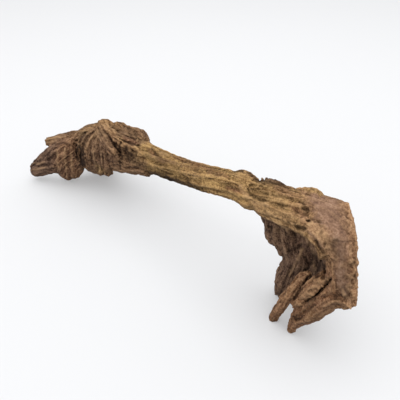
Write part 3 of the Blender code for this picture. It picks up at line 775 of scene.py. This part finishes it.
markLayers = ("crack", "pale", "stainAndShade", "rough", "rust", "yellow", "quiet")
marked = {kind: np.zeros(len(points)) for kind in markLayers}
push = np.zeros(len(points))
shown = np.where(facing > markEdge["turnedAway"])[0]
seen = ramped(facing[shown], markEdge["turnedAway"], 0.05)
wide, fine = markEdge["raggedCells"]
ragged = 1.0 + 1.1 * (valueNoise(points, wide, 71) - 0.5) + 0.5 * (valueNoise(points, fine, 72) - 0.5)
broken = 0.35 + 1.1 * valueNoise(points, markEdge["brokenCell"], 73)
speckled = 0.5 + valueNoise(points, markEdge["speckleCell"], 74)
for kind, width, depth, path in marks.values():
    rays, reach = onWood(tree, path)
    if not len(rays):
        continue
    along = fromCamera[shown] @ rays.T
    aside = np.sqrt(np.maximum((fromCamera[shown] ** 2).sum(1)[:, None] - along**2, 0))
    aside = np.hypot(aside, np.maximum(np.abs(along - reach) - width - markEdge["slack"], 0))
    taper = markEdge["ends"] + markEdge["middle"] * np.sin(np.linspace(0.0, math.pi, len(rays)))
    away = (aside / taper).min(axis=1) / (width * ragged[shown])
    falloff = np.zeros(len(points))
    falloff[shown] = np.clip(1 - away**2, 0, 1) ** 2 * seen
    if kind == "stainAndShade":
        falloff *= (0.55 + 0.45 * broken) * speckled
    elif kind not in ("cut", "scoop", "quiet"):
        falloff *= np.minimum(broken, 1.15)
    if kind in ("crack", "cut", "scoop"):
        push += depth * falloff
    # cracks and cuts darken the wood in colour as painted shade
    if kind in ("crack", "cut"):
        marked["crack"] = np.maximum(marked["crack"], falloff * min(1.0, 0.25 + depth / 5))
    # black marks paint shade into crevices, gaps and splits without cutting them
    elif kind == "black":
        marked["crack"] = np.maximum(marked["crack"], falloff * depth)
    # a scoop's hollow gets painted shade
    elif kind == "scoop":
        marked["stainAndShade"] = np.maximum(marked["stainAndShade"], falloff * 0.3)
        marked["quiet"] = np.maximum(marked["quiet"], falloff)
    # a ridge is paled, partly as worn fibre and partly as a painted highlight
    elif kind == "ridge":
        push -= depth * falloff
        marked["pale"] = np.maximum(marked["pale"], falloff * 0.8)
    elif kind == "rough":
        marked["rough"] = np.maximum(marked["rough"], falloff**0.5 * depth)
    else:
        marked[kind] = np.maximum(marked[kind], falloff * depth)

rough = marked["rough"]
rise *= 1 - 0.75 * np.minimum(marked["quiet"], 1)
pitNoise = valueNoise(points, patterns["roughPits"], 61) + 0.5 * (valueNoise(points, 4.2, 62) - 0.5)
roughPits = ramped(pitNoise, 0.6, 0.85) * rough
roughBumps = ramped(valueNoise(points, patterns["roughBumps"], 63), 0.5, 0.85) * rough
rise += (
    depths["roughBumps"] * roughBumps - depths["roughPits"] * roughPits + depths["roughGrit"] * rough * grit
)
# the rough pits are darkened with painted shade, and the rough bumps paled, partly as worn fibre and partly
# as painted highlight
crack = np.maximum(marked["crack"], 0.5 * roughPits)
pale = np.maximum(marked["pale"], 0.45 * roughBumps)

carved = points + normals * rise[:, None] - toCamera * push[:, None]
carved[:, 2] = np.maximum(carved[:, 2], 0.0)
settled = spread(carved, 1, 0.25)
settled[:, 2] = np.where(carved[:, 2] <= 0.0, 0.0, np.maximum(settled[:, 2], 0.0))
normals = normalsAt(settled)
# how far each point lies in a hollow or on a crest: hollows get painted shade in colour, and crests a paler
# colour that is partly worn fibre and partly painted highlight
nearHollow = ((spread(settled, 3) - settled) * normals).sum(1)
wideHollow = ((spread(settled, 25) - settled) * normals).sum(1)
paintedHollowShade = ramped(nearHollow, 0.03, 0.45) * 0.5 + ramped(wideHollow, 0.2, 2.4) * 0.6
crest = ramped(-nearHollow, 0.03, 0.35)

tone = 0.5 + (0.06 * strands + 0.09 * fibres + 0.16 * lanes) * (0.2 + 0.8 * calm) + 0.16 * grit
tone += smoothPart * (0.3 * valueNoise(points, 6.5, 37) + 0.42 * valueNoise(points, 2.4, 39) - 0.36)
patch = valueNoise(points, 22.0, 31) * 0.6 + valueNoise(points, 11.0, 33) * 0.4
# Layers for the shader. Several paint light and shade: painted shade in cracks, pits and hollows, on
# undersides and with the stains, and a paler colour on crests that is partly worn fibre and partly painted
# highlight.
layers = {
    "golden": look["golden"] + 0.5 * (patch - 0.5) + 0.7 * marked["yellow"] - 0.7 * marked["rust"],
    "red": look["red"] + 0.5 * (valueNoise(points, 16.0, 35) - 0.5) + 0.9 * marked["rust"],
    "dark": look["dark"],
    "mauve": np.maximum(smoothPart, 0.7 * sawn) * (1 - 0.6 * rough),
    "band": np.maximum(band * ramped(facing + 0.3, 0.0, 0.3), 0.6 * rough) + 0.3 * sawn,
    "tone": tone,
    "paintedHollowShade": paintedHollowShade,
    "crack": crack,
    "crest": crest * (1 - crack) * (1 - 0.8 * look["dark"]),
    "pale": pale,
    "stainAndShade": np.maximum(marked["stainAndShade"], 0.35 * pitted * calm),
    # painted shade: wood that faces down is darkened in colour
    "paintedUnderShade": ramped(-normals[:, 2], -0.35, 0.6),
    "grainAlong": grainAlong,
}
for name, values in layers.items():
    layer = wood.data.attributes.new(name, "FLOAT", "POINT")
    values = values if name == "grainAlong" else np.clip(values, 0, 1)
    layer.data.foreach_set("value", values.astype(np.float32))
layer = wood.data.attributes.new("grainAcross", "FLOAT_VECTOR", "POINT")
layer.data.foreach_set("vector", grainAcross.astype(np.float32).ravel())
triangles = 2 * len(wood.data.polygons)
thinned = wood.modifiers.new("thinned", "DECIMATE")
thinned.ratio = min(1.0, root["triangles"] / triangles)
applied(wood)
wood.data.polygons.foreach_set("use_smooth", np.ones(len(wood.data.polygons), bool))
wood.data.update()
print("triangles", triangles, "thinned to", len(wood.data.polygons))


def linearColour(hexValue):
    parts = [int(hexValue[i : i + 2], 16) / 255 for i in (0, 2, 4)]
    return [p / 12.92 if p <= 0.04045 else ((p + 0.055) / 1.055) ** 2.4 for p in parts] + [1.0]


def addNode(tree, kind, settings, links):
    # settings go to the node's own values or to its sockets; links join other nodes' outputs to its sockets
    node = tree.nodes.new(kind)
    for name, value in settings.items():
        if isinstance(name, str) and hasattr(node, name):
            setattr(node, name, value)
        else:
            node.inputs[name].default_value = value
    for name, output in links.items():
        tree.links.new(output, node.inputs[name])
    return node


# Old root wood, scoured by water and dried: it shows no varnish, only soft, fibrous, matt brown.
woodColours = {
    "brown": ("2f2118", "684e3c", "947559"),
    "golden": ("43311d", "91744a", "bb9864"),
    "red": ("3c281b", "76533c", "9c765a"),
    "mauve": ("634a3c", "876853", "a68771"),
    "edge": ("583b28", "947052", "b8916d"),
    "deep": ("241a15", "58443a", "7e6656"),
    # the dark colour is painted shade and also real stain, the pale one paler fibre and also painted
    # highlight
    "crackShade": "1c1009",
    "paleFibreAndHighlight": "c09c74",
    "rust": "8a5a30",
    "roughness": 0.9,
    "sheen": 0.12,
}

# How strongly each layer tints the wood, from 0 to 1. Most paint light and shade: painted shade under the
# wood, in hollows and in cracks, real stains together with painted shade, and paler fibre together with
# painted highlight
woodTints = {
    "rust": 0.36, "crest": 0.25, "pale": 0.45, "stainAndShade": 0.8, "paintedUnderShade": 0.48, "paintedHollowShade": 0.5, "crack": 0.85,
}

# The fibres that the colour shows, each by width and length in millimetres
woodFibres = {"fine": (1.1, 12.0), "broad": (2.4, 30.0), "rusty": (1.7, 16.0)}
gritPerMetre = 830.0  # specks 1.2 mm wide
fibreDetail = 2.0
bumpDepth = 0.6 * millimetre


def woodMaterial():
    material = bpy.data.materials.new("Water-scoured root wood")
    material.use_nodes = True
    tree = material.node_tree
    shader = tree.nodes["Principled BSDF"]

    def layer(name):
        return addNode(tree, "ShaderNodeAttribute", {"attribute_name": name}, {}).outputs["Fac"]

    def math2(operation, first, second, clamp=True):
        settings = {"operation": operation, "use_clamp": clamp}
        links = {}
        for slot, value in ((0, first), (1, second)):
            if isinstance(value, (int, float)):
                settings[slot] = value
            else:
                links[slot] = value
        return addNode(tree, "ShaderNodeMath", settings, links).outputs[0]

    def mixed(amount, first, second, blend="MIX"):
        settings = {"data_type": "RGBA", "blend_type": blend}
        links = {}
        for slot, value in ((0, amount), (6, first), (7, second)):
            if isinstance(value, (int, float, list)):
                settings[slot] = value
            else:
                links[slot] = value
        return addNode(tree, "ShaderNodeMix", settings, links).outputs[2]

    def ramp(value, colours):
        node = addNode(tree, "ShaderNodeValToRGB", {}, {"Fac": value})
        stops = node.color_ramp.elements
        stops.new(0.5)
        for stop, place, colour in zip(stops, (0.12, 0.5, 0.88), colours):
            stop.position = place
            stop.color = linearColour(colour)
        return node.outputs["Color"]

    across = addNode(tree, "ShaderNodeAttribute", {"attribute_name": "grainAcross"}, {}).outputs["Vector"]

    def grainNoise(width, length):
        # noise drawn out along the grain, its width and length in millimetres
        along = math2("MULTIPLY", layer("grainAlong"), width / length, False)
        settings = {"noise_dimensions": "4D", "Scale": 1.0 / width, "Detail": fibreDetail}
        noise = addNode(tree, "ShaderNodeTexNoise", settings, {"Vector": across, "W": along}).outputs["Fac"]
        return math2("SUBTRACT", noise, 0.5, False)

    place = addNode(tree, "ShaderNodeTexCoord", {}, {}).outputs["Object"]
    specks = {"Scale": gritPerMetre, "Detail": 3.0}
    grit = addNode(tree, "ShaderNodeTexNoise", specks, {"Vector": place}).outputs["Fac"]
    fineFibre = math2("MULTIPLY", grainNoise(*woodFibres["fine"]), 1.3, False)
    broadFibre = math2("MULTIPLY", grainNoise(*woodFibres["broad"]), 0.6, False)
    speck = math2("ADD", fineFibre, broadFibre, False)
    speck = math2("MULTIPLY", speck, math2("SUBTRACT", 1.0, math2("MULTIPLY", layer("mauve"), 0.75)), False)
    gritty = math2("SUBTRACT", 1.5, math2("MULTIPLY", layer("mauve"), 0.4), False)
    speck = math2("ADD", speck, math2("MULTIPLY", math2("SUBTRACT", grit, 0.5, False), gritty, False), False)
    value = math2("ADD", layer("tone"), speck)
    colour = ramp(value, woodColours["brown"])
    for name in ("red", "golden"):
        colour = mixed(layer(name), colour, ramp(value, woodColours[name]))
    rusty = math2("MULTIPLY", math2("ADD", grainNoise(*woodFibres["rusty"]), 0.08, False), 2.6)
    colour = mixed(math2("MULTIPLY", rusty, woodTints["rust"]), colour, linearColour(woodColours["rust"]))
    colour = mixed(layer("mauve"), colour, ramp(value, woodColours["mauve"]))
    colour = mixed(layer("band"), colour, ramp(value, woodColours["edge"]))
    colour = mixed(layer("dark"), colour, ramp(value, woodColours["deep"]))
    light = linearColour(woodColours["paleFibreAndHighlight"])
    shade = linearColour(woodColours["crackShade"])
    # painted highlight and paler fibre in the pale colour; painted shade and real stains in the dark one
    tints = {"crest": light, "pale": light, "stainAndShade": shade, "paintedUnderShade": shade, "paintedHollowShade": shade, "crack": shade}
    for name, tint in tints.items():
        colour = mixed(math2("MULTIPLY", layer(name), woodTints[name]), colour, tint)
    tree.links.new(colour, shader.inputs["Base Color"])
    bump = addNode(tree, "ShaderNodeBump", {"Strength": 0.6, "Distance": bumpDepth}, {"Height": value})
    tree.links.new(bump.outputs[0], shader.inputs["Normal"])
    shader.inputs["Roughness"].default_value = woodColours["roughness"]
    shader.inputs["Specular IOR Level"].default_value = woodColours["sheen"]
    return material


print("material")
wood.data.materials.clear()
wood.data.materials.append(woodMaterial())
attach(wood, "root")
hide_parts("driftwood")

print("studio")
studio = {
    "floorSide": 6.0,
    "floorColour": "bcbdbf",
    "floorGlow": 0.24,
    "sky": 1.07,
    "topPower": 9.5,
    "topSide": 1.6,
    "topPlace": (0.0, 0.0, 1.3),
}
shape = bmesh.new()
bmesh.ops.create_grid(shape, x_segments=1, y_segments=1, size=studio["floorSide"] / 2)
floor = addPiece("floor", meshFrom(shape, "floor"))
paper = bpy.data.materials.new("Matt white paper")  # a pale, even ground with no gloss
paper.use_nodes = True
surface = paper.node_tree.nodes["Principled BSDF"].inputs
surface["Base Color"].default_value = linearColour(studio["floorColour"])
surface["Roughness"].default_value = 1.0
surface["Emission Color"].default_value = (1.0, 1.0, 1.0, 1.0)
surface["Emission Strength"].default_value = studio["floorGlow"]
floor.data.materials.append(paper)

world = bpy.data.worlds.new("studioLight")
world.use_nodes = True
sky = world.node_tree.nodes["Background"].inputs
sky["Color"].default_value = (1.0, 1.0, 1.0, 1.0)
sky["Strength"].default_value = studio["sky"]
bpy.context.scene.world = world
lamp = bpy.data.lights.new("topLight", "AREA")
lamp.energy = studio["topPower"]
lamp.size = studio["topSide"]
lampPiece = addPiece("topLight", lamp)
lampPiece.location = studio["topPlace"]

lens = bpy.data.cameras.new("camera")
lens.sensor_width = camera["sensor"]
lens.lens = camera["focalPixels"] / camera["picture"] * camera["sensor"]
lens.clip_start = 0.01
viewer = addPiece("camera", lens)
viewer.location = camera["place"]
viewer.rotation_euler = cameraTurn().to_euler()
bpy.context.scene.camera = viewer
bpy.context.scene.view_settings.view_transform = "Standard"
